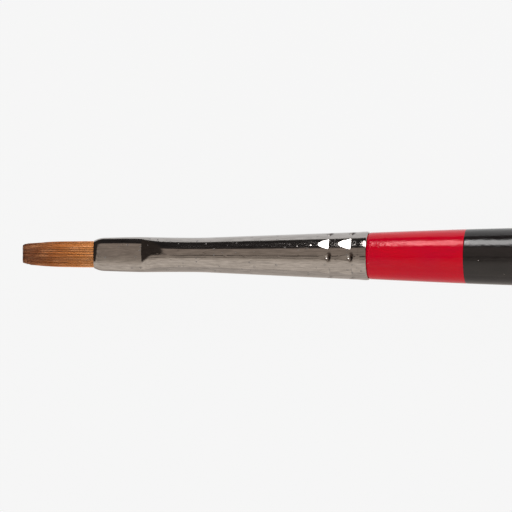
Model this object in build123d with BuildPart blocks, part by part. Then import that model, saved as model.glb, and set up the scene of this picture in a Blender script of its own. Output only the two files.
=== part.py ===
from build123d import *

import os
from math import atan, copysign, cos, degrees, pi, sin

# Small flat artist's brush: a tuft of sable-type hair, a tapered ferrule pressed flat at its mouth and crimped
# on to a turned wooden handle, and two colours of lacquer.
# +X runs along the brush from the hair to the handle's tail, +Y is the wide way of the tuft and +Z is up, out of
# its flat face. The origin is on the brush's axis, at the middle of the handle's belly. Lengths are in
# millimetres. A station is a distance along the axis from the ferrule's mouth, positive towards the tail.

# Driving dimensions
FERRULE_LENGTH = 32.6
FERRULE_WALL = 0.2
HAIR_FREE_LENGTH = 8.54
HANDLE_LENGTH = 141.0  # behind the ferrule
BELLY_RADIUS = 3.6
BELLY_START = 36.0  # behind the ferrule
BELLY_LENGTH = 12.0  # straight cylinder, where the brush is held
RED_BAND_LENGTH = 11.4
COAT = 0.1  # thickness of the lacquer
GLUE = 0.06  # adhesive film in the ferrule
MOUTH_POWER = 2.05  # power of a superellipse: 2 is an ellipse, and more is flatter-sided
FLAT_POWER = 2.3
ROUND_POWER = 2.0
SECTION_POINTS = 24  # points round a superellipse

# Ferrule
FLAT_END = 5.83  # crease where the pressed flat ends
FLAT_HALF_WIDTH = 2.05  # at FLAT_END
FLAT_HALF_THICKNESS = 1.06  # at FLAT_END
ROUND_START = 9.6
NECK_RADIUS = 2.01  # straight from ROUND_START to CONE_START
CONE_START = 12.8
CONE_SLOPE = 0.0409
FLARE_START = 31.3
FLARED_RADIUS = 2.845
THROAT_STATION = 1.2  # where the wall reaches its full thickness behind the lips
THROAT_HALF_WIDTH = 1.945
THROAT_HALF_THICKNESS = 0.74
LIP_LENGTH = 0.4
LIP_HALF_WIDTH = 1.565  # hole between the turned-in lips
LIP_HALF_THICKNESS = 0.5

# Crimps: two rings of dimples that lock into the tenon, each a flat that slopes in and ends in a step
CRIMP_ENDS = (28.2, 30.8)  # stations of the steps
DIMPLES = 10  # in each ring
DIMPLE_TURN = 95  # degrees from +Y to the first
DIMPLE_LENGTH = 1.35
DIMPLE_DEPTH = 0.09
PRESS_WIDTH = 1.5  # of the block that presses each one, wider than the mark it leaves
PRESS_HEIGHT = 1.0

# Inside the ferrule
HAIR_ROOM = 0.015  # between hair and lip
BOUND_RADIUS = 1.2  # of the hair bundle under the thread
BOUND_START = 10.2
HAIR_BUTT = 12.6
THREAD_RADIUS = 0.11
THREAD_GAP = 0.01  # between thread and hair
THREAD_TURNS = 5
THREAD_PITCH = 0.24
THREAD_START = 10.6
THREAD_ROOM = 0.03
RESIN_START = 8.4
RESIN_END = 13.6
TENON_START = 15.4
TENON_CHAMFER = 0.3
TENON_OVERLAP = 1.0  # length of tenon stock inside the handle's body

# Handle outline
HANDLE_FRONT_RADIUS = 2.705
HANDLE_FRONT_SLOPE = 0.042
SHOULDER_STATION = 16.4  # behind the ferrule
SHOULDER_RADIUS = 3.3
WAIST_STATION = 92.0  # behind the ferrule
WAIST_RADIUS = 2.64
TAIL_RADIUS = 1.45
TAIL_SLOPE = -0.02

# Bend of the tuft
HINGE_STATION = -2.2
KNUCKLE_RADIUS = 0.45
KNUCKLE_GAP = 0.05

GRIP_STATION = FERRULE_LENGTH + BELLY_START + BELLY_LENGTH / 2
TAIL_STATION = FERRULE_LENGTH + HANDLE_LENGTH
TIP_STATION = -HAIR_FREE_LENGTH
THREAD_WOUND_RADIUS = BOUND_RADIUS + THREAD_RADIUS + THREAD_GAP

# Sections, each (station, half width, half thickness, power)
FRONT_SECTIONS = (
    (0.0, 1.63, 0.53, MOUTH_POWER),
    (0.5, 1.83, 0.71, MOUTH_POWER),
    (THROAT_STATION, THROAT_HALF_WIDTH, THROAT_HALF_THICKNESS, MOUTH_POWER),
    (3.5, 2.01, 0.87, MOUTH_POWER),
    (FLAT_END, FLAT_HALF_WIDTH, FLAT_HALF_THICKNESS, FLAT_POWER),
    (ROUND_START, NECK_RADIUS, NECK_RADIUS, ROUND_POWER),
)
BORE_SECTIONS = (
    (-LIP_LENGTH, LIP_HALF_WIDTH, LIP_HALF_THICKNESS, MOUTH_POWER),
    (LIP_LENGTH, LIP_HALF_WIDTH, LIP_HALF_THICKNESS, MOUTH_POWER),
    (THROAT_STATION, THROAT_HALF_WIDTH - FERRULE_WALL, THROAT_HALF_THICKNESS - FERRULE_WALL, MOUTH_POWER),
    (FLAT_END, FLAT_HALF_WIDTH - FERRULE_WALL, FLAT_HALF_THICKNESS - FERRULE_WALL, FLAT_POWER),
    (ROUND_START, NECK_RADIUS - FERRULE_WALL, NECK_RADIUS - FERRULE_WALL, ROUND_POWER),
)
HAIR_SECTIONS = (
    (TIP_STATION, 1.0, 0.1, MOUTH_POWER),
    (-8.1, 1.17, 0.15, MOUTH_POWER),
    (-7.2, 1.32, 0.22, MOUTH_POWER),
    (-5.2, 1.49, 0.35, MOUTH_POWER),
    (-2.5, 1.54, 0.46, MOUTH_POWER),
    (0.0, LIP_HALF_WIDTH - HAIR_ROOM, LIP_HALF_THICKNESS - HAIR_ROOM, MOUTH_POWER),
    (LIP_LENGTH, LIP_HALF_WIDTH - HAIR_ROOM, LIP_HALF_THICKNESS - HAIR_ROOM, MOUTH_POWER),
    (FLAT_END, 1.7, 0.7, FLAT_POWER),
    (BOUND_START, BOUND_RADIUS, BOUND_RADIUS, ROUND_POWER),
    (HAIR_BUTT, BOUND_RADIUS, BOUND_RADIUS, ROUND_POWER),
)


def x_at(station):
    """X of a station."""
    return station - GRIP_STATION


def cross_plane(station):
    """Plane across the brush: its x is along +Y, its y along +Z and its normal towards the tail."""
    return Plane(origin=(x_at(station), 0, 0), x_dir=(0, 1, 0), z_dir=(1, 0, 0))


def cone_radius(station):
    """Outer radius of the ferrule's round length."""
    return NECK_RADIUS + CONE_SLOPE * max(station - CONE_START, 0)


def superellipse_points(half_width, half_thickness, power):
    """Points round a superellipse."""
    points = []
    for i in range(SECTION_POINTS):
        across = cos(2 * pi * i / SECTION_POINTS)
        up = sin(2 * pi * i / SECTION_POINTS)
        y = half_width * copysign(abs(across) ** (2 / power), across)
        z = half_thickness * copysign(abs(up) ** (2 / power), up)
        points.append((y, z))
    return points


def lofted(sections):
    """Solid through superellipse and circular sections, straight between neighbours."""
    with BuildPart() as body:
        for station, half_width, half_thickness, power in sections:
            with BuildSketch(cross_plane(station)):
                if power == ROUND_POWER:
                    Circle(half_width)
                else:
                    with BuildLine():
                        Spline(*superellipse_points(half_width, half_thickness, power), periodic=True)
                    make_face()
        loft(ruled=True)
    return body.part


def turned(*corners):
    """Solid turned about the brush's axis from (station, radius) corners."""
    with BuildPart() as body:
        with BuildSketch(Plane.XZ):
            with BuildLine():
                Polyline(*[(x_at(station), radius) for station, radius in corners], close=True)
            make_face()
        revolve(axis=Axis.X)
    return body.part


def press_places(inset):
    """Places of the block that presses each dimple, moved inwards by inset. It slopes in towards the tail."""
    slope = Rot(Y=-degrees(atan(DIMPLE_DEPTH / DIMPLE_LENGTH - CONE_SLOPE)))
    places = []
    for end in CRIMP_ENDS:
        floor_radius = cone_radius(end) - DIMPLE_DEPTH - inset
        for place in PolarLocations(floor_radius, DIMPLES, start_angle=DIMPLE_TURN):
            places.append(cross_plane(end).location * place * slope * Pos(Z=inset))
    return places


def dimpled(body, inset):
    """The body with all dimples pressed into it, moved inwards by inset."""
    with BuildPart() as pressed:
        add(body)
        for place in press_places(inset):
            with Locations(place):
                Box(
                    PRESS_HEIGHT,
                    PRESS_WIDTH,
                    DIMPLE_LENGTH + inset,
                    align=(Align.MIN, Align.CENTER, Align.MAX),
                    mode=Mode.SUBTRACT,
                )
    return pressed.part


def handle_solid(inset):
    """The handle behind the ferrule, with its surface moved inwards by inset."""
    front, tail = x_at(FERRULE_LENGTH), x_at(TAIL_STATION) - TAIL_RADIUS
    with BuildPart() as body:
        with BuildSketch(Plane.XZ):
            with BuildLine():
                swell = Spline(
                    (front, HANDLE_FRONT_RADIUS - inset),
                    (front + SHOULDER_STATION, SHOULDER_RADIUS - inset),
                    (front + BELLY_START, BELLY_RADIUS - inset),
                    tangents=[(1, HANDLE_FRONT_SLOPE), (1, 0)],
                )
                belly = Line(swell @ 1, (front + BELLY_START + BELLY_LENGTH, BELLY_RADIUS - inset))
                Spline(
                    belly @ 1,
                    (front + WAIST_STATION, WAIST_RADIUS - inset),
                    (tail, TAIL_RADIUS - inset),
                    tangents=[(1, 0), (1, TAIL_SLOPE)],
                )
                CenterArc((tail, 0), TAIL_RADIUS - inset, 0, 90)
                Polyline((tail + TAIL_RADIUS - inset, 0), (front, 0), swell @ 0)
            make_face()
        revolve(axis=Axis.X)
    return body.part


os.makedirs("parts", exist_ok=True)

# Shapes that several pieces share
bore_end_radius = cone_radius(FERRULE_LENGTH) - FERRULE_WALL
tenon_end = TENON_START + TENON_CHAMFER
tenon_radius = cone_radius(tenon_end) - FERRULE_WALL - GLUE
front_bore = lofted(BORE_SECTIONS)
rear_bore = turned(
    (ROUND_START, 0),
    (ROUND_START, NECK_RADIUS - FERRULE_WALL),
    (CONE_START, NECK_RADIUS - FERRULE_WALL),
    (FERRULE_LENGTH, bore_end_radius),
    (FERRULE_LENGTH, 0),
)
whole_handle = handle_solid(0)
bare_handle = handle_solid(COAT)
hair = lofted(HAIR_SECTIONS)

# Ferrule
front_shell = lofted(FRONT_SECTIONS)
rear_shell = turned(
    (ROUND_START, 0),
    (ROUND_START, NECK_RADIUS),
    (CONE_START, NECK_RADIUS),
    (FLARE_START, cone_radius(FLARE_START)),
    (FERRULE_LENGTH, FLARED_RADIUS),
    (FERRULE_LENGTH, 0),
)
with BuildPart() as ferrule:
    add(front_shell)
    add(dimpled(rear_shell, 0))
    add(front_bore, mode=Mode.SUBTRACT)
    add(dimpled(rear_bore, FERRULE_WALL), mode=Mode.SUBTRACT)
ferrule.part.label = "ferrule"
export_step(ferrule.part, "parts/ferrule.step")

# Wooden handle core, with its dimpled tenon
tenon = turned(
    (TENON_START, 0),
    (TENON_START, tenon_radius - TENON_CHAMFER),
    (tenon_end, tenon_radius),
    (FERRULE_LENGTH, bore_end_radius - GLUE),
    (FERRULE_LENGTH + TENON_OVERLAP, bore_end_radius - GLUE),
    (FERRULE_LENGTH + TENON_OVERLAP, 0),
)
with BuildPart() as handle_core:
    add(dimpled(tenon, FERRULE_WALL + GLUE))
    add(bare_handle)
handle_core.part.label = "handle_core"
export_step(handle_core.part, "parts/handle_core.step")

# Adhesive film between the tenon and the bore
film_start_radius = cone_radius(tenon_end) - FERRULE_WALL
film = turned(
    (tenon_end, 0),
    (tenon_end, film_start_radius),
    (FERRULE_LENGTH, bore_end_radius),
    (FERRULE_LENGTH, 0),
)
with BuildPart() as handle_adhesive:
    add(dimpled(film, FERRULE_WALL))
    add(handle_core.part, mode=Mode.SUBTRACT)
handle_adhesive.part.label = "handle_adhesive"
export_step(handle_adhesive.part, "parts/handle_adhesive.step")

# Lacquer: one coat round the whole handle, in two colours that meet on a plane
colour_plane = cross_plane(FERRULE_LENGTH + RED_BAND_LENGTH)
with BuildPart() as red_band:
    add(whole_handle)
    add(bare_handle, mode=Mode.SUBTRACT)
    split(bisect_by=colour_plane, keep=Keep.BOTTOM)
red_band.part.label = "red_band"
export_step(red_band.part, "parts/red_band.step")

with BuildPart() as black_lacquer:
    add(whole_handle)
    add(bare_handle, mode=Mode.SUBTRACT)
    split(bisect_by=colour_plane, keep=Keep.TOP)
black_lacquer.part.label = "black_lacquer"
export_step(black_lacquer.part, "parts/black_lacquer.step")

# Hair: one bundle from butt to tip, parted at the bend into the stiff root and the free tuft
with BuildPart() as hair_root:
    add(hair)
    split(bisect_by=cross_plane(HINGE_STATION + KNUCKLE_RADIUS + KNUCKLE_GAP), keep=Keep.TOP)
hair_root.part.label = "hair_root"
export_step(hair_root.part, "parts/hair_root.step")

with BuildPart() as hair_tuft:
    add(hair)
    with BuildSketch(Plane.XZ):
        with Locations((x_at(HINGE_STATION), 0)):
            Circle(KNUCKLE_RADIUS)
            Rectangle(HAIR_FREE_LENGTH, 2 * BOUND_RADIUS, align=(Align.MAX, Align.CENTER))
    extrude(amount=2 * LIP_HALF_WIDTH, both=True, mode=Mode.INTERSECT)
hair_tuft.part.label = "hair_tuft"
export_step(hair_tuft.part, "parts/hair_tuft.step")

# Binding thread, wound on the bundle near its butt
with BuildPart() as binding_thread:
    with BuildLine():
        winding = Helix(
            THREAD_PITCH,
            THREAD_PITCH * THREAD_TURNS,
            THREAD_WOUND_RADIUS,
            center=(x_at(THREAD_START), 0, 0),
            direction=(1, 0, 0),
        )
    with BuildSketch(Plane(origin=winding @ 0, z_dir=winding % 0)):
        Circle(THREAD_RADIUS)
    sweep(path=winding, is_frenet=True)
binding_thread.part.label = "binding_thread"
export_step(binding_thread.part, "parts/binding_thread.step")

# Resin plug: fills the bore round the hair, with room for the thread
thread_reach = THREAD_RADIUS + THREAD_ROOM
thread_end = THREAD_START + THREAD_PITCH * THREAD_TURNS
thread_room = turned(
    (THREAD_START - thread_reach, 0),
    (THREAD_START - thread_reach, THREAD_WOUND_RADIUS + thread_reach),
    (thread_end + thread_reach, THREAD_WOUND_RADIUS + thread_reach),
    (thread_end + thread_reach, 0),
)
with BuildPart() as root_resin:
    add(front_bore)
    add(rear_bore)
    split(bisect_by=cross_plane(RESIN_START), keep=Keep.TOP)
    split(bisect_by=cross_plane(RESIN_END), keep=Keep.BOTTOM)
    add(hair, mode=Mode.SUBTRACT)
    add(thread_room, mode=Mode.SUBTRACT)
root_resin.part.label = "root_resin"
export_step(root_resin.part, "parts/root_resin.step")
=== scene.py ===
"""Studio scene of a small flat artist's brush: bundled hairs, pressed and crimped ferrule, lacquered handle.

+X runs from the hair to the handle's tail, +Y is the wide way of the tuft and +Z is up, out of its flat face.
The brush's shapes are worked out in millimetres, along stations. A station is a distance along the brush from
the ferrule's mouth, positive towards the tail. Blender's own lengths are in metres.
"""

import math
import random

import bpy
import numpy as np
from mathutils import Matrix, Vector


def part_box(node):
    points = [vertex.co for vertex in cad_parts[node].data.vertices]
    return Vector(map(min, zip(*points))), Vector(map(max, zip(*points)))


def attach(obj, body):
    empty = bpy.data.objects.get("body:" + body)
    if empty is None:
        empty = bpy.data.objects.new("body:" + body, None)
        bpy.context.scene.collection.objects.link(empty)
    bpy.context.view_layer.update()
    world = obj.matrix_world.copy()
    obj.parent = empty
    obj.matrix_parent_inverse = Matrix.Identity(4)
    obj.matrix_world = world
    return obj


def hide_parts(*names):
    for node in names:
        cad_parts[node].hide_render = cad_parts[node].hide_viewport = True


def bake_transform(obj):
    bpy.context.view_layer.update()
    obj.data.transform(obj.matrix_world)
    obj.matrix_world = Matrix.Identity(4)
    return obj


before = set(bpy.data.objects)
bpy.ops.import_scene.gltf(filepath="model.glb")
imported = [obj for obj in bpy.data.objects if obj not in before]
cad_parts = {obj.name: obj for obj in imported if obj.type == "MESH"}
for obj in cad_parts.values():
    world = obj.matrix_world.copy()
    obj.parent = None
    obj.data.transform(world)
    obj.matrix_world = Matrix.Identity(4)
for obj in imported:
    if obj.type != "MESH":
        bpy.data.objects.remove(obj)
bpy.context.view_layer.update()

MM = 0.001
MOUTH_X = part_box("ferrule")[0].x
FLOOR_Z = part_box("black_lacquer")[0].z


def station_of(x):
    """Station of a place along the brush, given in metres."""
    return (x - MOUTH_X) / MM


FERRULE_END = station_of(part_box("ferrule")[1].x)
COLOUR_SPLIT = station_of(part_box("red_band")[1].x)
TIP = station_of(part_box("hair_tuft")[0].x)
BUTT = station_of(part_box("hair_root")[1].x)
TAIL = station_of(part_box("black_lacquer")[1].x)
RIM_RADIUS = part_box("ferrule")[1].z / MM
BELLY_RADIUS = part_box("black_lacquer")[1].z / MM


def smooth(t):
    """Smoothstep of t, clipped to 0..1."""
    t = min(max(t, 0.0), 1.0)
    return t * t * (3 - 2 * t)


def above_zero(value, rounding):
    """The value where it is positive and 0 elsewhere, with the corner between the two rounded off."""
    return 0.5 * (value + math.sqrt(value * value + rounding * rounding))


def bell(distance, spread):
    """A bell curve, 1 at no distance."""
    return math.exp(-0.5 * (distance / spread) ** 2)


def through(points, x, slopes=None):
    """Value at x of a smooth curve through (x, value) points. Slopes, where not None, fix its slope there."""
    xs = [p[0] for p in points]
    ys = [p[1] for p in points]
    x = min(max(x, xs[0]), xs[-1])
    i = max(k for k in range(len(xs) - 1) if xs[k] <= x)
    grads = []
    for k in (i, i + 1):
        if slopes and slopes[k] is not None:
            grads.append(slopes[k])
            continue
        before, after = max(k - 1, 0), min(k + 1, len(xs) - 1)
        grads.append((ys[after] - ys[before]) / (xs[after] - xs[before]))
    h = xs[i + 1] - xs[i]
    t = (x - xs[i]) / h
    return (
        (1 + 2 * t) * (1 - t) ** 2 * ys[i]
        + t * (1 - t) ** 2 * h * grads[0]
        + t * t * (3 - 2 * t) * ys[i + 1]
        + t * t * (t - 1) * h * grads[1]
    )


def superellipse(half_width, half_height, power, angle):
    """Distance from the middle of a superellipse to its outline, at an angle."""
    across = abs(math.cos(angle) / half_width) ** power
    up = abs(math.sin(angle) / half_height) ** power
    return (across + up) ** (-1 / power)


def mesh_object(name, verts, faces, material):
    """A smooth-shaded object from points given as (station, y, z)."""
    mesh = bpy.data.meshes.new(name)
    mesh.from_pydata([(MOUTH_X + s * MM, y * MM, z * MM) for s, y, z in verts], [], faces)
    mesh.update()
    mesh.shade_smooth()
    mesh.materials.append(material)
    obj = bpy.data.objects.new(name, mesh)
    bpy.context.scene.collection.objects.link(obj)
    return obj


def skin(rings, loop=False):
    """Points and faces over rings of equal length.

    The faces look outwards where the rings run towards the tail, and inwards where they run towards the hair.
    In a loop, the last ring joins the first. Otherwise both ends are capped.
    """
    count = len(rings[0])
    verts = [p for ring in rings for p in ring]
    faces = []
    for i in range(len(rings) if loop else len(rings) - 1):
        a, b = i * count, (i + 1) % len(rings) * count
        for j in range(count):
            k = (j + 1) % count
            faces.append((a + j, a + k, b + k, b + j))
    if not loop:
        faces.append(tuple(range(count))[::-1])
        faces.append(tuple((len(rings) - 1) * count + j for j in range(count)))
    return verts, faces


def shell_object(name, rings, material, node, loop=False):
    """A rigid shell that stands for a CAD node. The rings of its outside run towards the tail.

    Its faces are turned over, so they look into the shell.
    """
    verts, faces = skin(rings, loop)
    obj = mesh_object(name, verts, [face[::-1] for face in faces], material)
    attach(obj, "brush_body")
    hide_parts(node)
    return obj


def set_attribute(obj, name, values):
    """Gives each point of the object a number that its material reads by name."""
    obj.data.attributes.new(name, "FLOAT", "POINT").data.foreach_set("value", values)


# --------------------------------------------------------------------------------------------- node trees


class Nodes:
    """A node tree, with short calls for the nodes that this scene uses."""

    def __init__(self, tree):
        self.tree = tree

    def node(self, kind, **settings):
        """A new node. Each setting is one of its properties, or else one of its inputs."""
        made = self.tree.nodes.new(kind)
        self.set(made, **settings)
        return made

    def set(self, node, **settings):
        """Sets a node's properties or inputs by name."""
        inputs = {socket.name.lower(): socket for socket in node.inputs}
        for key, value in settings.items():
            if hasattr(node, key):
                setattr(node, key, value)
            else:
                self.feed(inputs[key.replace("_", " ")], value)

    def feed(self, socket, value):
        """Links an output to an input, or gives the input a value. Colours come without their alpha."""
        if isinstance(value, bpy.types.NodeSocket):
            self.tree.links.new(value, socket)
        elif socket.type == "RGBA":
            socket.default_value = (*value, 1)
        else:
            socket.default_value = value

    def attribute(self, name):
        """The number that set_attribute gave each point."""
        return self.node("ShaderNodeAttribute", attribute_name=name).outputs["Fac"]

    def axes(self, vector):
        """The x, y and z of a vector."""
        made = self.node("ShaderNodeSeparateXYZ")
        self.feed(made.inputs[0], vector)
        return made.outputs

    def ray(self, kind):
        """1 for rays of a kind, such as Is Camera Ray, and 0 for others."""
        return self.node("ShaderNodeLightPath").outputs[kind]

    def math(self, operation, a, b=0.0, clamp=False):
        made = self.node("ShaderNodeMath", operation=operation, use_clamp=clamp)
        self.feed(made.inputs[0], a)
        self.feed(made.inputs[1], b)
        return made.outputs[0]

    def mix(self, factor, a, b, blend="MIX"):
        """Colour a where factor is 0 and b where it is 1."""
        made = self.node("ShaderNodeMix", data_type="RGBA", blend_type=blend)
        self.feed(made.inputs[0], factor)
        self.feed(made.inputs[6], a)
        self.feed(made.inputs[7], b)
        return made.outputs[2]

    def ramp(self, value, *stops):
        """A colour ramp through (place, colour) stops. A colour may be one number."""
        made = self.node("ShaderNodeValToRGB")
        elements = made.color_ramp.elements
        while len(elements) < len(stops):
            elements.new(0.5)
        for element, (place, colour) in zip(elements, stops):
            element.position = place
            rgb = (colour,) * 3 if isinstance(colour, (int, float)) else colour
            element.color = (*rgb, 1)
        self.feed(made.inputs[0], value)
        return made.outputs[0]


class Shader(Nodes):
    """A material with one principled shader, and the patterns that feed it."""

    def __init__(self, name, **settings):
        self.material = bpy.data.materials.new(name)
        self.material.use_nodes = True
        super().__init__(self.material.node_tree)
        self.bsdf = self.tree.nodes["Principled BSDF"]
        self.set(self.bsdf, **settings)
        self.position = self.node("ShaderNodeTexCoord").outputs["Object"]

    def paint(self, **sources):
        """Feeds the principled shader's inputs by name."""
        self.set(self.bsdf, **sources)

    def scaled(self, x, y, z):
        """The position in millimetres times (x, y, z)."""
        mapping = self.node("ShaderNodeMapping", vector=self.position)
        mapping.inputs["Scale"].default_value = (x / MM, y / MM, z / MM)
        return mapping.outputs[0]

    def noise(self, vector, detail):
        """Cloudy noise, about one cloud to each unit of the vector."""
        made = self.node("ShaderNodeTexNoise", scale=1.0, detail=detail, roughness=0.55, vector=vector)
        return made.outputs["Fac"]

    def bump(self, height, depth_mm):
        """Raises the surface by height times depth, on top of the bumps that it already has."""
        made = self.node("ShaderNodeBump", strength=1.0, distance=depth_mm * MM)
        self.feed(made.inputs["Height"], height)
        normal = self.bsdf.inputs["Normal"]
        if normal.is_linked:
            self.feed(made.inputs["Normal"], normal.links[0].from_socket)
        self.feed(normal, made.outputs[0])

    def cells(self, vector, cells_per_mm, share):
        """Distance from the middle of the nearest cell, and 1 in the share of cells that are chosen."""
        made = self.node("ShaderNodeTexVoronoi", scale=cells_per_mm, vector=vector)
        lot = self.node("ShaderNodeSeparateColor")
        self.feed(lot.inputs[0], made.outputs["Color"])
        return made.outputs["Distance"], self.math("LESS_THAN", lot.outputs[0], share)

    def pits(self, cells_per_mm, size, share):
        """Sparse hollows drawn out along the brush, 1 at the middle and 0 at the rim."""
        distance, chosen = self.cells(self.scaled(0.42, 1, 1), cells_per_mm, share)
        inside = self.math("SUBTRACT", 1.0, self.math("DIVIDE", distance, size), clamp=True)
        return self.math("MULTIPLY", self.math("MULTIPLY", inside, inside), chosen)

    def specks(self, cells_per_mm, size, share):
        """Sparse round specks, 1 inside and 0 outside."""
        distance, chosen = self.cells(self.scaled(1, 1, 1), cells_per_mm, share)
        return self.math("MULTIPLY", self.math("LESS_THAN", distance, size), chosen)


# --------------------------------------------------------------------------------------------- materials


def plated_metal():
    """Mirror-like nickel plate: drawing lines along the tube, smears, dust, dings and fine scratches, with
    painted shade in the nicks of the crimps.
    """
    m = Shader("plated_metal")
    lines = m.noise(m.scaled(0.35, 9, 9), detail=4)
    smears = m.noise(m.scaled(0.9, 5, 5), detail=3)
    clean = m.ramp(lines, (0.3, (0.37, 0.345, 0.325)), (0.7, (0.52, 0.49, 0.47)))
    smeared = m.mix(1.0, clean, m.ramp(smears, (0.35, 0.8), (0.65, 1.02)), "MULTIPLY")

    wander = m.math("ABSOLUTE", m.math("SUBTRACT", m.noise(m.scaled(0.3, 1.6, 1.6), detail=0), 0.5))
    patches = m.math("GREATER_THAN", m.noise(m.scaled(0.6, 1.1, 1.1), detail=1), 0.6)
    scratch = m.math("MULTIPLY", m.math("LESS_THAN", wander, 0.006), patches)
    scratched = m.mix(m.math("MULTIPLY", scratch, 0.55), smeared, (0.13, 0.11, 0.1))
    # Painted shade: the nick walls are darkened in the colour, standing in for the shade that falls in those
    # recesses.
    with_nick_shade = m.mix(m.attribute("painted_nick_shade"), scratched, (0.05, 0.035, 0.03))

    grains = m.math("GREATER_THAN", m.noise(m.scaled(8, 8, 8), detail=2), 0.47)
    dust = m.math("MULTIPLY", m.specks(1.9, 0.28, 0.17), grains)
    m.paint(
        base_color=m.mix(dust, with_nick_shade, (0.19, 0.18, 0.175)),
        metallic=m.math("SUBTRACT", 1.0, m.math("MULTIPLY", dust, 0.5)),
        roughness=m.ramp(lines, (0.3, 0.05), (0.75, 0.12)),
    )
    m.bump(lines, 0.003)
    m.bump(m.pits(3, 0.38, 0.12), -0.0175)
    return m.material


def lacquer(name, colour, dark, flecks, specular, tint=(1, 1, 1)):
    """Dipped lacquer: glossy and faintly uneven, with pale dust caught in the coat."""
    m = Shader(name, ior=1.5, specular_ior_level=specular, specular_tint=tint)
    drift = m.noise(m.scaled(0.25, 0.6, 0.6), detail=2)
    body = m.mix(m.ramp(drift, (0.35, 0.0), (0.7, 1.0)), colour, dark)
    dust = m.specks(1.7, 0.07, 0.12)
    sheen = m.noise(m.scaled(0.7, 2.5, 2.5), detail=3)
    m.paint(
        base_color=m.mix(m.math("MULTIPLY", dust, flecks), body, (0.5, 0.42, 0.4)),
        roughness=m.ramp(sheen, (0.3, 0.07), (0.75, 0.2)),
    )
    m.bump(m.noise(m.scaled(0.35, 0.9, 0.9), detail=2), 0.01)
    m.bump(m.noise(m.scaled(0.9, 1.3, 1.3), detail=2), 0.024)
    m.bump(dust, 0.012)
    return m.material


def red_lacquer():
    return lacquer(
        "red_lacquer_coat",
        colour=(0.39, 0.0, 0.01),
        dark=(0.36, 0.0, 0.014),
        flecks=0.35,
        specular=0.42,
        tint=(1, 0.42, 0.43),
    )


def black_lacquer():
    return lacquer(
        "black_lacquer_coat",
        colour=(0.007, 0.006, 0.006),
        dark=(0.012, 0.01, 0.01),
        flecks=0.5,
        specular=0.45,
    )


def hair():
    """Sable-type hair: warm brown, darker to the tip, every hair its own shade."""
    m = Shader("hair", roughness=0.42, ior=1.45)
    colour = m.ramp(
        m.attribute("along"),
        (0.0, (0.51, 0.205, 0.057)),
        (0.25, (0.43, 0.152, 0.033)),
        (0.55, (0.345, 0.11, 0.024)),
        (0.8, (0.24, 0.078, 0.025)),
        (1.0, (0.19, 0.067, 0.03)),
    )
    patches = m.noise(m.scaled(0.55, 4, 4), detail=3)
    light = m.mix(m.ramp(patches, (0.5, 0.0), (0.75, 0.7)), colour, (0.62, 0.3, 0.14))
    shade = m.ramp(m.attribute("tint"), (0.0, 0.35), (0.5, 0.9), (1.0, 1.45))
    m.paint(base_color=m.mix(1.0, light, shade, "MULTIPLY"))
    return m.material


def birch():
    """Close-grained pale wood."""
    m = Shader("birch", roughness=0.5)
    grain = m.noise(m.scaled(0.12, 3.5, 3.5), detail=5)
    pores = m.noise(m.scaled(0.8, 16, 16), detail=3)
    tone = m.ramp(grain, (0.3, (0.5, 0.32, 0.17)), (0.7, (0.72, 0.53, 0.33)))
    m.paint(base_color=m.mix(m.ramp(pores, (0.55, 0.0), (0.8, 0.6)), tone, (0.32, 0.18, 0.09)))
    m.bump(pores, 0.01)
    return m.material


def thread():
    """Waxed cotton thread with its ply."""
    m = Shader("waxed_thread", roughness=0.55)
    ply = m.noise(m.scaled(9, 4, 4), detail=4)
    m.paint(base_color=m.ramp(ply, (0.3, (0.5, 0.42, 0.28)), (0.7, (0.82, 0.76, 0.62))))
    m.bump(ply, 0.02)
    return m.material


def resin():
    """Cured amber resin with small bubbles."""
    m = Shader("amber_resin", roughness=0.18, ior=1.54, subsurface_weight=0.2)
    clouds = m.noise(m.scaled(0.8, 0.8, 0.8), detail=3)
    m.paint(base_color=m.ramp(clouds, (0.3, (0.3, 0.13, 0.03)), (0.7, (0.56, 0.32, 0.1))))
    m.bump(m.specks(4, 0.2, 0.3), -0.02)
    return m.material


def adhesive():
    """Pale, slightly yellowed glue."""
    m = Shader("adhesive", roughness=0.4)
    smear = m.noise(m.scaled(0.6, 2, 2), detail=4)
    m.paint(base_color=m.ramp(smear, (0.3, (0.56, 0.47, 0.28)), (0.7, (0.8, 0.74, 0.55))))
    m.bump(smear, 0.01)
    return m.material


# --------------------------------------------------------------------------------------------- ferrule

# Lengths here are in millimetres. Widths and thicknesses are halves, from the axis.
WALL = 0.2
AROUND = 320  # points round a ring
NECK_RADIUS = 2.01
CONE_START = 12.8
CONE_SLOPE = 0.0409

FLAT_END = 5.83
FLAT_WIDTHS = ((0, 1.94), (1.2, 1.945), (3.5, 2.01), (FLAT_END, 2.05), (8.4, 2.024), (10, NECK_RADIUS))
MOUTH_THICKNESS = 0.705
FLAT_SLOPE = 0.0609
MOUTH_POWER = 2.03
FLAT_POWER = 2.3
RAMP_END = 12.0
RAMP_POWER = 3.9

LIP_SIDE_TURN = 0.34
LIP_SIDE_LENGTH = 1.25
LIP_TOP_SLOPE = 0.5
LIP_TOP_LENGTH = 0.38
LIP_TOP_ROUNDING = 0.03
# (width, thickness, station) of the hole in the lip
LIP_HOLE = ((1.6, 0.53, 0.9), (1.575, 0.51, 0.4), (1.565, 0.5, 0.15), (1.575, 0.505, 0.02))

CRIMPS = ((28.2, 1.25, 0.08), (30.8, 1.45, 0.095))  # (end, length, depth) of each ring's facets
CRIMPED_FROM = 25
CRIMP_REACH = 0.6
DIMPLES = 10
DIMPLE_TURN = math.radians(95)
RUN_OUT = 0.13
FACET_ROUNDING = 0.012
NICKED_RUN_OUT = 0.34
NICKED_DEPTH = 0.35  # of a plain facet's

NICK_DEPTH = 0.12
NICK_AHEAD = -0.22
NICK_SPREAD = 0.085
NICK_WALL_DEPTH = 0.1
NICK_WALL_FADE = 0.12
NICK_WALL_WIDTH = 0.42

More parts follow.
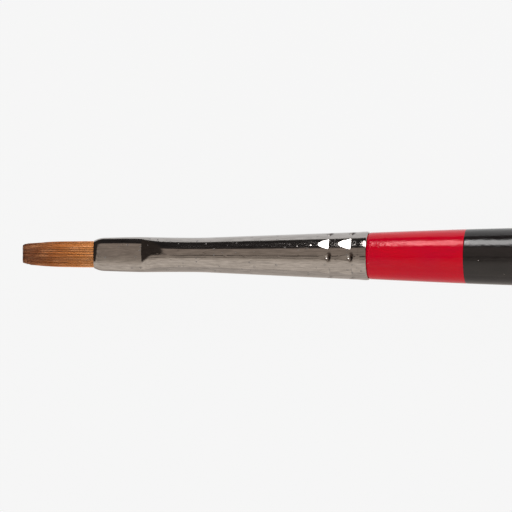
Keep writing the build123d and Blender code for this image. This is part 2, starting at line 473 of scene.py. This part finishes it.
# Where the painted shade sits on the wall of each nick, in millimetres.
NICK_SHADE_AHEAD = 0.1
NICK_SHADE_ASIDE = -0.22
NICK_SHADE_LENGTH = 0.26
NICK_SHADE_WIDTH = 0.42

FLARE_START = 31.35
FLARE_LENGTH = 0.6
ROLL_LENGTH = 0.32
ROLL_DEPTH = 0.11


def cone(station):
    """Radius of the round length of the ferrule: a straight neck that eases into the taper."""
    ease = min(max(station - CONE_START + 1, 0), 2)
    return NECK_RADIUS + CONE_SLOPE * (ease * ease / 4 + max(station - CONE_START - 1, 0))


def ferrule_section(station):
    """Half width, half thickness and superellipse power of the ferrule at a station."""
    width = through(FLAT_WIDTHS, station)
    thickness = MOUTH_THICKNESS + FLAT_SLOPE * min(station, FLAT_END)
    if station < FLAT_END:
        side_turn = LIP_SIDE_TURN * max(0.0, 1 - station / LIP_SIDE_LENGTH) ** 2
        top_turn = LIP_TOP_SLOPE * above_zero(LIP_TOP_LENGTH - station, LIP_TOP_ROUNDING)
        power = MOUTH_POWER + (FLAT_POWER - MOUTH_POWER) * smooth(station / FLAT_END)
        return width - side_turn, thickness - top_turn, power
    if station >= RAMP_END:
        return cone(station), cone(station), 2.0
    rise = 1 - (1 - (station - FLAT_END) / (RAMP_END - FLAT_END)) ** RAMP_POWER
    return width, thickness + (NECK_RADIUS - thickness) * rise, FLAT_POWER + (2 - FLAT_POWER) * rise


def nearest_dimple(angle, radius):
    """Angle and distance from the middle of the nearest dimple, and whether it is one of the nicked ones."""
    turns = (angle - DIMPLE_TURN) * DIMPLES / (2 * math.pi)
    off = (turns - round(turns)) * 2 * math.pi / DIMPLES
    return off, off * radius, round(turns) % 2 == 0


def crimped(station, angle, radius):
    """Radius at a place on the crimped ferrule: facets that slope in, every other one with a deep nick."""
    for end, length, depth in CRIMPS:
        ahead = station - end
        if not -length < ahead < CRIMP_REACH:
            continue
        off, across, nicked = nearest_dimple(angle, radius)
        run_out = NICKED_RUN_OUT if nicked else RUN_OUT
        if nicked:
            depth *= NICKED_DEPTH
        slope = 1 + ahead / length if ahead < 0 else 1 - ahead / run_out
        gap = radius - (radius - depth * slope) / math.cos(off)
        radius -= above_zero(gap, FACET_ROUNDING)
        radius += 0.5 * FACET_ROUNDING * math.exp(-abs(gap) / FACET_ROUNDING)
        if nicked:
            radius -= NICK_DEPTH * bell(math.hypot(ahead - NICK_AHEAD, across), NICK_SPREAD)
            wall = max(0.0, 1 - ahead / run_out) if ahead > 0 else bell(ahead, NICK_WALL_FADE)
            radius -= NICK_WALL_DEPTH * wall * math.exp(-((across / NICK_WALL_WIDTH) ** 4))
    return radius


def painted_nick_shade(station, angle, radius):
    """How dark the plate is painted, 0 to 1: a patch of painted shade on the wall of each nick, standing in
    for the shade in that recess.
    """
    across, nicked = nearest_dimple(angle, radius)[1:]
    if not nicked:
        return 0.0
    aside = ((across - NICK_SHADE_ASIDE) / NICK_SHADE_WIDTH) ** 2
    spots = [((station - end - NICK_SHADE_AHEAD) / NICK_SHADE_LENGTH) ** 2 + aside for end, _, _ in CRIMPS]
    return math.exp(-(min(spots) ** 2))


def rim_change(station):
    """The flare of the ferrule's end, and its edge rolled over."""
    flare = (RIM_RADIUS - cone(FERRULE_END)) * smooth((station - FLARE_START) / FLARE_LENGTH)
    over = (station - (FERRULE_END - ROLL_LENGTH)) / ROLL_LENGTH
    if over > 0:
        flare -= ROLL_DEPTH * (1 - math.sqrt(max(0.0, 1 - over * over)))
    return flare


def section_ring(station, radius_at):
    """A ring of points at a station, from a function that gives the radius at an angle."""
    ring = []
    for i in range(AROUND):
        angle = 2 * math.pi * i / AROUND
        radius = radius_at(angle)
        ring.append((station, radius * math.cos(angle), radius * math.sin(angle)))
    return ring


def outer_ring(station):
    """A ring round the outside of the ferrule."""
    section = ferrule_section(station)

    def radius_at(angle):
        radius = superellipse(*section, angle)
        if station <= CRIMPED_FROM:
            return radius
        return crimped(station, angle, radius) + rim_change(station)

    return section_ring(station, radius_at)


def bore_ring(station):
    """A ring round the smooth bore, a wall's thickness inside the outside."""
    width, thickness, power = ferrule_section(station)
    return section_ring(station, lambda angle: superellipse(width - WALL, thickness - WALL, power, angle))


def lip_ring(width, thickness, station):
    """A ring round the hole in the turned-in lip."""
    return section_ring(station, lambda angle: superellipse(width, thickness, MOUTH_POWER, angle))


def build_ferrule(material):
    """The ferrule as one closed shell: outside, rolled rim, bore and turned-in lip."""
    lip = 0.015 + 1.5 * np.linspace(0, 1, 26) ** 1.6
    flat = np.linspace(1.8, FLAT_END - 0.2, 18)
    crease = (FLAT_END - 0.04, FLAT_END, FLAT_END + 0.05)
    ramp_foot = np.linspace(FLAT_END + 0.14, 9.5, 38)
    neck = np.linspace(9.7, 15, 28)
    taper = np.linspace(15.4, 26.4, 20)
    crimps = np.linspace(26.6, FERRULE_END - 0.35, 118)
    rim = FERRULE_END - ROLL_LENGTH * (1 - np.sin(np.linspace(0.1, 1.57, 9)))
    outside = [outer_ring(s) for s in (*lip, *flat, *crease, *ramp_foot, *neck, *taper, *crimps, *rim)]

    bore = (FERRULE_END, 26, 20, 14, 12.8, RAMP_END, 11, 10, 9.2, 8.4, 7.8, 7.2, 6.6, FLAT_END, 4, 2.4, 1.4)
    inside = [bore_ring(s) for s in bore] + [lip_ring(*section) for section in LIP_HOLE]
    obj = shell_object("ferrule_shell", outside + inside, material, "ferrule", loop=True)

    # Painted shade on the nick walls, read by the metal's material. The bore and lip get none.
    nick_shade_values = [painted_nick_shade(s, math.atan2(z, y), math.hypot(y, z)) for ring in outside for s, y, z in ring]
    set_attribute(obj, "painted_nick_shade", nick_shade_values + [0.0] * (AROUND * len(inside)))


# --------------------------------------------------------------------------------------------- handle

TAIL_RADIUS = 1.45
DOME_START = TAIL - TAIL_RADIUS
POLE_RADIUS = 0.004  # of the last ring of a dome
COAT = 0.1
HANDLE_AROUND = 160  # points round a ring

# (distance behind the ferrule, radius) of the handle, and its slopes at those places
HANDLE_RADII = (
    (0, 2.705),
    (16.4, 3.3),
    (36, BELLY_RADIUS),
    (48, BELLY_RADIUS),
    (92, 2.64),
    (139.55, TAIL_RADIUS),
)
HANDLE_SLOPES = (0.042, None, 0, 0, None, -0.02)

# (distance from the coat's end, drop below its surface) of the rounded edges
FERRULE_EDGE = ((0.0, 0.09), (0.06, 0.08), (0.12, 0.045), (0.18, 0.012), (0.26, 0.0))
COLOUR_EDGE = ((0.0, 0.02), (0.03, 0.008), (0.08, 0.001))


def handle_radius(station):
    """Outer radius of the lacquered handle."""
    if station > DOME_START:
        return math.sqrt(max(0.0, TAIL_RADIUS**2 - (station - DOME_START) ** 2))
    return through(HANDLE_RADII, station - FERRULE_END, HANDLE_SLOPES)


def turned_ring(station, radius):
    """A round ring of points at a station."""
    turns = [2 * math.pi * i / HANDLE_AROUND for i in range(HANDLE_AROUND)]
    return [(station, radius * math.cos(turn), radius * math.sin(turn)) for turn in turns]


def coat_rings(stations, drop=0.0):
    """Rings along the handle, a drop below its surface."""
    return [turned_ring(s, handle_radius(s) - drop) for s in stations]


def dome_rings(radius):
    """Rings over the rounded tail, from its widest to its pole."""
    rings = []
    for turn in np.linspace(0, math.pi / 2, 14)[1:]:
        ring_radius = max(radius * math.cos(turn), POLE_RADIUS)
        rings.append(turned_ring(DOME_START + radius * math.sin(turn), ring_radius))
    return rings


def build_red_band(material):
    """The red coat: a sleeve with soft edges."""
    start, end = FERRULE_END, COLOUR_SPLIT
    rings = [turned_ring(start + ahead, handle_radius(start + ahead) - drop) for ahead, drop in FERRULE_EDGE]
    rings += coat_rings(np.linspace(start + 0.4, end - 0.15, 60))
    rings += [turned_ring(end - back, handle_radius(end) - drop) for back, drop in COLOUR_EDGE[::-1]]
    rings += coat_rings(np.linspace(end, start, 12), COAT)
    shell_object("red_coat", rings, material, "red_band", loop=True)


def build_black_coat(material):
    """The black coat: a cup over the rest of the handle."""
    start = COLOUR_SPLIT
    rings = dome_rings(TAIL_RADIUS - COAT)[::-1]
    rings += coat_rings(np.linspace(start, DOME_START, 60)[::-1], COAT)
    rings += [turned_ring(start + ahead, handle_radius(start) - drop) for ahead, drop in COLOUR_EDGE]
    rings += coat_rings(np.linspace(start + 0.15, DOME_START, 150))
    rings += dome_rings(TAIL_RADIUS)
    shell_object("black_coat", rings, material, "black_lacquer")


# --------------------------------------------------------------------------------------------- hair

HAIRS = 760
CLUMPS = 60
SIDES = 5
HAIR_RADIUS = 0.042
TAPER = 0.72  # share of its radius that a hair loses over the taper
TAPER_START = 2
TAPER_LENGTH = 6.8
POINT_START = -8.4
POINT_TAPER = 0.8
ROUNDED_OVER = 4.5  # length behind the flat in which the bundle turns round
CLUMPED_FROM = 0.5  # distance out of the mouth at which hairs start to drift to their clumps
CLUMPED_OVER = 8
CLUMP_SPREAD = 0.97
THICKNESS_PULL = 0.4  # clumping across the thickness, as a share of that across the width
STRETCH_START = -6.0  # from here on a hair is lengthened or shortened to its own end
SCATTER = 0.02  # of a hair's place, as a share of the bundle
END_SCATTER = 0.07

# Half width and half thickness of the bundle, as (station, size)
HAIR_WIDTHS = (
    (TIP, 1.26),
    (-6.8, 1.375),
    (-5.2, 1.5),
    (-2.5, 1.54),
    (0, 1.55),
    (0.4, 1.55),
    (FLAT_END, 1.7),
    (10.2, 1.2),
    (BUTT, 1.2),
)
HAIR_THICKNESSES = (
    (TIP, 0.1),
    (-7.2, 0.21),
    (-5.2, 0.34),
    (-2.5, 0.455),
    (0, 0.485),
    (0.4, 0.485),
    (FLAT_END, 0.7),
    (10.2, 1.2),
    (BUTT, 1.2),
)

# Where the hairs end, as (distance from the middle, station). The corner at -Y is worn back.
TUFT_OUTLINE = ((0.0, TIP), (1.0, TIP), (1.1, -8.42), (1.2, -8.12), (1.3, -7.4), (1.4, -6.2), (1.6, -2))
NEAR_CORNER_WEAR = 0.08

ROOT_STATIONS = (BUTT, 10.2, 8.2, FLAT_END, 3.3, 0.4)
TUFT_STATIONS = (-0.3, -0.9, -1.5, -2.1, -2.7, -3.3, -4.1, -5, -5.8, -6.6, -7.5, -8.15, TIP)


def build_hair(material):
    """Several hundred tapered hairs, fanned in the flat mouth and gathered to a chisel edge.

    Their rings run towards the tip, so their faces look into the hairs.
    """
    rng = random.Random(7)
    clumps = [(rng.uniform(-1, 1), rng.uniform(-1, 1)) for _ in range(CLUMPS)]
    golden_turn = math.pi * (3 - math.sqrt(5))
    tip_width = through(HAIR_WIDTHS, TIP)
    verts, faces, along, tints = [], [], [], []
    for n in range(HAIRS):
        # Its place in the round bundle, as shares of the width and thickness
        spread = math.sqrt((n + 0.5) / HAIRS)
        u = spread * math.cos(n * golden_turn) + rng.uniform(-SCATTER, SCATTER)
        v = spread * math.sin(n * golden_turn) + rng.uniform(-SCATTER, SCATTER)
        size = math.hypot(u, v)
        if size > 1:
            u, v = u / size, v / size
        square = (abs(u) ** FLAT_POWER + abs(v) ** FLAT_POWER) ** (-1 / FLAT_POWER) * math.hypot(u, v)

        # What makes it differ from its neighbours
        clump_u, clump_v = min(clumps, key=lambda c: (c[0] - u) ** 2 + (c[1] - v) ** 2)
        tint = 0.5 + 0.2 * math.sin(37 * clump_u + 11 * clump_v) + rng.gauss(0, 0.2)
        root_radius = HAIR_RADIUS * rng.uniform(0.85, 1.15)
        phase, wave = rng.uniform(0, 6.28), rng.uniform(0.0, 0.02)
        pull = rng.uniform(0.1, 0.45)
        out = abs(u * square) * tip_width + (NEAR_CORNER_WEAR if u < 0 else 0.0)
        end = through(TUFT_OUTLINE, out) + abs(rng.gauss(0, END_SCATTER))

        rings = []
        for station in ROOT_STATIONS + TUFT_STATIONS:
            s = station
            if station <= STRETCH_START:
                s = STRETCH_START + (station - STRETCH_START) * (end - STRETCH_START) / (TIP - STRETCH_START)
            far = smooth((-s - CLUMPED_FROM) / CLUMPED_OVER)
            flat = 1 - smooth((s - FLAT_END) / ROUNDED_OVER)
            spread_out = 1 + (square - 1) * flat
            pulled_u = u + (clump_u * CLUMP_SPREAD - u) * pull * far
            pulled_v = v + (clump_v * CLUMP_SPREAD - v) * pull * far * THICKNESS_PULL
            radius = root_radius * (1 - TAPER * smooth((-s - TAPER_START) / TAPER_LENGTH))
            if s <= POINT_START:
                radius *= POINT_TAPER
            y = pulled_u * spread_out * (through(HAIR_WIDTHS, s) - radius)
            z = pulled_v * spread_out * (through(HAIR_THICKNESSES, s) - radius)
            y += wave * far * math.sin(phase + s * 1.3)
            z += wave * far * math.cos(phase + s * 1.1) * 0.5
            turns = [2 * math.pi * i / SIDES + phase for i in range(SIDES)]
            rings.append([(s, y + radius * math.cos(turn), z + radius * math.sin(turn)) for turn in turns])
            along += [min(max(s / TIP, 0.0), 1.0)] * SIDES
            tints += [min(max(tint, 0.0), 1.0)] * SIDES
        base = len(verts)
        hair_verts, hair_faces = skin(rings)
        verts += hair_verts
        faces += [tuple(base + k for k in face) for face in hair_faces]

    obj = mesh_object("hair_bundle", verts, faces, material)
    set_attribute(obj, "along", along)
    set_attribute(obj, "tint", tints)
    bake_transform(obj)
    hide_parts("hair_tuft", "hair_root")


def repaint(node, material):
    """Gives a CAD node a procedural material."""
    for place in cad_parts[node].material_slots:
        place.material = material


# --------------------------------------------------------------------------------------------- studio

BACKDROP = (0.92, 0.92, 0.92)
DARK = (0.05, 0.04, 0.035)

# The surroundings as (degrees, colour), from -Y through straight up at 0 to +Y: bright warm wall, dimmer
# overhead, dark wall. Between two stops the colour changes evenly.
WALLS_START = -100.0
WALLS_SPAN = 200.0
WALLS = (
    (-100, (0.88, 0.8, 0.72)),
    (-50, (0.88, 0.8, 0.72)),
    (-36, (0.84, 0.76, 0.68)),
    (-27, (0.73, 0.65, 0.57)),
    (-19, (0.58, 0.51, 0.44)),
    (-12, (0.48, 0.415, 0.355)),
    (-4, (0.42, 0.355, 0.305)),
    (15, (0.4, 0.335, 0.285)),
    (36, (0.42, 0.35, 0.3)),
    (41, (0.035, 0.03, 0.03)),
    (88, (0.03, 0.027, 0.027)),
    (96, (0.3, 0.3, 0.3)),
)

# Where the walls end towards the hair and the dark beyond them begins, as (degrees, -x of the direction)
WALLS_END = ((-60, 0.94), (-40, 0.87), (-23, 0.8), (-8, 0.74), (-3, 0.66), (0, 0.41), (20, 0.35))
WALLS_END_SHARPNESS = 16.0
WALLS_ENDLESS_FROM = 86.0  # degrees

# Dark seams in the walls, as (degrees, lean, half width in degrees, darkness)
SEAMS = ((-3.5, 70.0, 4.5, 1.0), (-16.0, 0.0, 4.0, 0.6))
SEAM_LEAN_START = -0.26
FLAT_MIRRORS = 0.312  # -x of the directions that the flat mirrors, which are free of seams
FLAT_MIRRORS_SPAN = 0.024
FLAT_MIRRORS_SHARPNESS = 80.0


def studio_world():
    """Light tents round the brush as bands of brightness across it, and a plain backdrop for the camera."""
    world = bpy.data.worlds.new("studio")
    world.use_nodes = True
    bpy.context.scene.world = world
    w = Nodes(world.node_tree)
    x, y, z = w.axes(w.node("ShaderNodeTexCoord").outputs["Generated"])
    angle = w.math("MULTIPLY", w.math("ARCTAN2", y, z), 180 / math.pi)
    place = w.math("DIVIDE", w.math("ADD", angle, -WALLS_START), WALLS_SPAN)

    def across(stops):
        """A ramp over the angle across the brush, from (degrees, value) stops."""
        return w.ramp(place, *[((degrees - WALLS_START) / WALLS_SPAN, value) for degrees, value in stops])

    past_end = w.math("SUBTRACT", w.math("MULTIPLY", x, -1.0), across(WALLS_END))
    dim = w.math("MULTIPLY", past_end, WALLS_END_SHARPNESS, clamp=True)
    dim = w.math("MULTIPLY", dim, w.math("LESS_THAN", angle, WALLS_ENDLESS_FROM))

    from_flat = w.math("ABSOLUTE", w.math("ADD", x, FLAT_MIRRORS))
    off_flat = w.math("SUBTRACT", from_flat, FLAT_MIRRORS_SPAN)
    off_flat = w.math("MULTIPLY", off_flat, FLAT_MIRRORS_SHARPNESS, clamp=True)
    down_ramp = w.math("MAXIMUM", w.math("SUBTRACT", SEAM_LEAN_START, x), 0.0)
    for degrees, lean, half_width, darkness in SEAMS:
        middle = w.math("ADD", w.math("MULTIPLY", down_ramp, lean), degrees)
        from_middle = w.math("ABSOLUTE", w.math("SUBTRACT", angle, middle))
        seam = w.math("SUBTRACT", 1.0, w.math("DIVIDE", from_middle, half_width), clamp=True)
        seam = w.math("MULTIPLY", w.math("MULTIPLY", seam, off_flat), darkness)
        dim = w.math("MAXIMUM", dim, seam)

    mirrored = w.mix(dim, across(WALLS), DARK)
    seen = w.mix(w.ray("Is Camera Ray"), mirrored, BACKDROP)
    w.feed(w.tree.nodes["Background"].inputs["Color"], seen)


def studio_floor():
    """A plain pale sweep under the brush that glows, so that it stays even.

    Mirrored in the metal, it is warm on the -Y side and dark well out on the +Y side.
    """
    half = 1.5
    gap = 0.0002
    dark_from = 0.058
    glow_share = 0.99
    mesh = bpy.data.meshes.new("floor")
    corners = [(-half, -half, 0), (half, -half, 0), (half, half, 0), (-half, half, 0)]
    mesh.from_pydata(corners, [], [(0, 1, 2, 3)])
    floor = bpy.data.objects.new("floor", mesh)
    floor.location = (0, 0, FLOOR_Z - gap)
    bpy.context.scene.collection.objects.link(floor)

    m = Shader("floor", base_color=(0.9, 0.9, 0.9), roughness=1.0)
    y = m.axes(m.position)["Y"]
    mirrored = m.ray("Is Glossy Ray")
    near = m.math("MULTIPLY", m.math("LESS_THAN", y, 0.0), mirrored)
    far = m.math("MULTIPLY", m.math("GREATER_THAN", y, dark_from), mirrored)
    warm = m.mix(near, BACKDROP, (0.68, 0.62, 0.57))
    glow = m.node("ShaderNodeEmission")
    m.feed(glow.inputs["Color"], m.mix(far, warm, (0.08, 0.075, 0.07)))
    mixed = m.node("ShaderNodeMixShader")
    for socket, value in zip(mixed.inputs, (glow_share, m.bsdf.outputs[0], glow.outputs[0])):
        m.feed(socket, value)
    m.feed(m.tree.nodes["Material Output"].inputs["Surface"], mixed.outputs[0])
    mesh.materials.append(m.material)


def hang(data, along, lean, distance):
    """Hangs a light over the brush, facing its axis, leaning from upright towards +Y."""
    light = bpy.data.objects.new(data.name, data)
    light.location = (along, distance * math.sin(lean), distance * math.cos(lean))
    light.rotation_euler = (-lean, 0, 0)
    bpy.context.scene.collection.objects.link(light)
    return light


def softbox(name, left, right, distance, radiance, end_softness):
    """A strip light close over the +Y side of the brush, from left to right along it, fading at its edges."""
    side_softness = 3.5
    data = bpy.data.lights.new(name, "AREA")
    data.shape = "RECTANGLE"
    data.size = right - left
    data.size_y = 0.085
    data.energy = radiance * math.pi * data.size * data.size_y
    data.color = (1.0, 0.98, 0.97)
    data.use_nodes = True
    nodes = Nodes(data.node_tree)
    place = nodes.axes(nodes.node("ShaderNodeNewGeometry").outputs["Parametric"])
    fades = []
    for axis, softness in ((0, end_softness), (1, side_softness)):
        from_edge = nodes.math("PINGPONG", place[axis], 0.5)
        fades.append(nodes.math("MULTIPLY", from_edge, softness, clamp=True))
    nodes.feed(nodes.tree.nodes["Emission"].inputs["Strength"], nodes.math("MULTIPLY", *fades))
    hang(data, (left + right) / 2, math.radians(60.5), distance).visible_camera = False


def fill():
    """A broad soft light overhead, leaning to -Y, that fills the shaded side and isn't mirrored."""
    radiance = 2.3
    data = bpy.data.lights.new("fill", "AREA")
    data.size = 0.6
    data.energy = radiance * math.pi * data.size * data.size
    hang(data, along=0, lean=math.radians(-35), distance=0.6).visible_glossy = False


def camera():
    """A long lens looking down on the flat of the brush, tilted towards the handle."""
    tilt, roll, distance = math.radians(10), math.radians(-0.32), 0.7
    view_width = 59.648 * MM
    data = bpy.data.cameras.new("camera")
    data.lens = data.sensor_width * distance / view_width
    data.clip_start = 0.01
    obj = bpy.data.objects.new("camera", data)
    target = Vector((MOUTH_X + 19.25 * MM, -0.09 * MM, 0))
    turn = Matrix.Rotation(tilt, 4, "Y") @ Matrix.Rotation(-roll, 4, "Z")
    obj.matrix_world = Matrix.Translation(target) @ turn @ Matrix.Translation((0, 0, distance))
    bpy.context.scene.collection.objects.link(obj)
    bpy.context.scene.camera = obj


build_ferrule(plated_metal())
build_red_band(red_lacquer())
build_black_coat(black_lacquer())
build_hair(hair())
repaint("handle_core", birch())
repaint("binding_thread", thread())
repaint("root_resin", resin())
repaint("handle_adhesive", adhesive())
studio_world()
studio_floor()
softbox("softbox", left=-0.0745, right=0.12, distance=0.15, radiance=8.5, end_softness=40.0)
softbox("softbox_hot_end", left=-0.0745, right=-0.0635, distance=0.149, radiance=9.0, end_softness=6.0)
fill()
camera()
bpy.context.scene.view_settings.view_transform = "Standard"
